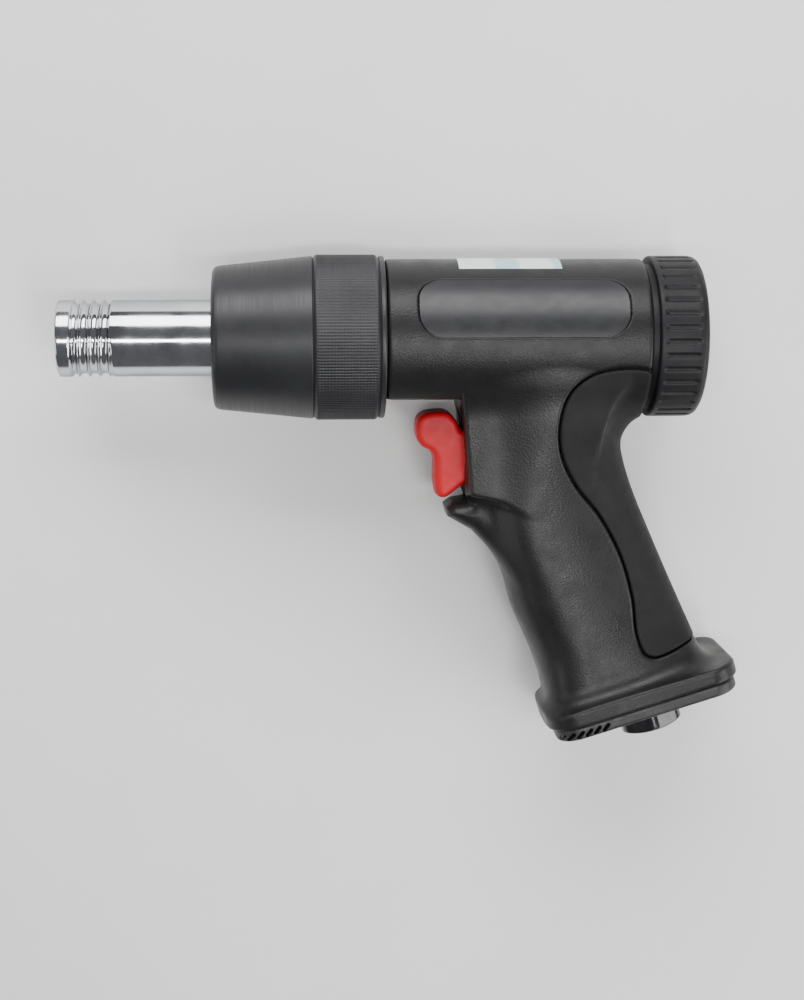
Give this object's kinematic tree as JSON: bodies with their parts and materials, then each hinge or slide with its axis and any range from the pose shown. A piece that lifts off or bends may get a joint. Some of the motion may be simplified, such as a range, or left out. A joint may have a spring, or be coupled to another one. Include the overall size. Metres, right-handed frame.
{
  "type": "pneumatic rivet gun",
  "caption": "Pistol-grip pneumatic rivet gun with a sliding cushioned barrel, knurled front collar, ribbed rear cap, red trigger and an exhaust base with a hex air inlet.",
  "frame": {"origin": "centre of the shank bore at the muzzle's front face", "axes": "+X back along the barrel, +Y the gun's top, +Z its left side, so the gun lies on its right side"},
  "size_m": [0.228, 0.1659, 0.0552],
  "materials": {
    "chromed_steel": "bright plated, turned",
    "ground_steel": "ground",
    "spring_steel": "drawn wire",
    "screen_steel": "woven wire",
    "blackened_steel": "satin black oxide with a fine knurl",
    "cap_black": "satin black",
    "inlet_black": "gloss black plated",
    "dark_screws": "black oxide",
    "black_casting": "fine-grained black enamel",
    "base_black": "moulded, satin",
    "plate": "smooth, blank",
    "label": "printed film, blank",
    "grip_rubber": "matt moulded rubber",
    "black_rubber": "smooth",
    "bumper_rubber": "smooth",
    "bronze": "turned",
    "red_plastic": "moulded, soft gloss",
    "felt": "pressed felt"
  },
  "bodies": {
    "housing": {"rear_isolator_spring": "spring_steel", "front_collar": "blackened_steel", "front_wiper_seal": "black_rubber", "front_guide_bushing": "bronze", "front_bumper": "bumper_rubber", "collar_o_ring": "black_rubber", "housing": "black_casting", "side_plate_left": "plate", "side_plate_right": "plate", "top_label": "label", "palm_grip": "grip_rubber", "rear_cap": "cap_black", "rear_cap_o_ring": "black_rubber", "throttle_bushing": "bronze", "throttle_seat": "bronze", "throttle_spring": "spring_steel", "base_cap": "base_black", "base_cap_screws": "dark_screws", "muffler_felt": "felt", "inlet_washer": "bronze", "air_inlet_bushing": "inlet_black", "inlet_screen": "screen_steel"},
    "barrel": {"barrel": "chromed_steel", "barrel_o_rings": "black_rubber", "valve_front_plate": "ground_steel", "valve_back_plate": "ground_steel", "valve_dowel": "ground_steel", "valve_lock_ring": "ground_steel"},
    "piston": {"piston": "ground_steel"},
    "valve": {"valve_disc": "ground_steel"},
    "trigger": {"trigger": "red_plastic", "trigger_pin": "ground_steel", "throttle_stem": "ground_steel"}
  },
  "joints": [
    {"name": "barrel_recoil", "type": "slide", "parent": "housing", "child": "barrel", "axis": [1, 0, 0], "range_m": [0, 0.005], "stiffness_N_per_m": 12000, "springref_m": -0.004, "deforming": ["rear_isolator_spring"]},
    {"name": "piston_stroke", "type": "slide", "parent": "barrel", "child": "piston", "axis": [1, 0, 0], "range_m": [-0.066, 0]},
    {"name": "valve_shuttle", "type": "slide", "parent": "barrel", "child": "valve", "axis": [1, 0, 0], "range_m": [0, 0.0008]},
    {"name": "trigger_pull", "type": "slide", "parent": "housing", "child": "trigger", "axis": [1, 0, 0], "range_m": [0, 0.005], "stiffness_N_per_m": 1500, "springref_m": -0.004, "deforming": ["throttle_spring"]}
  ]
}
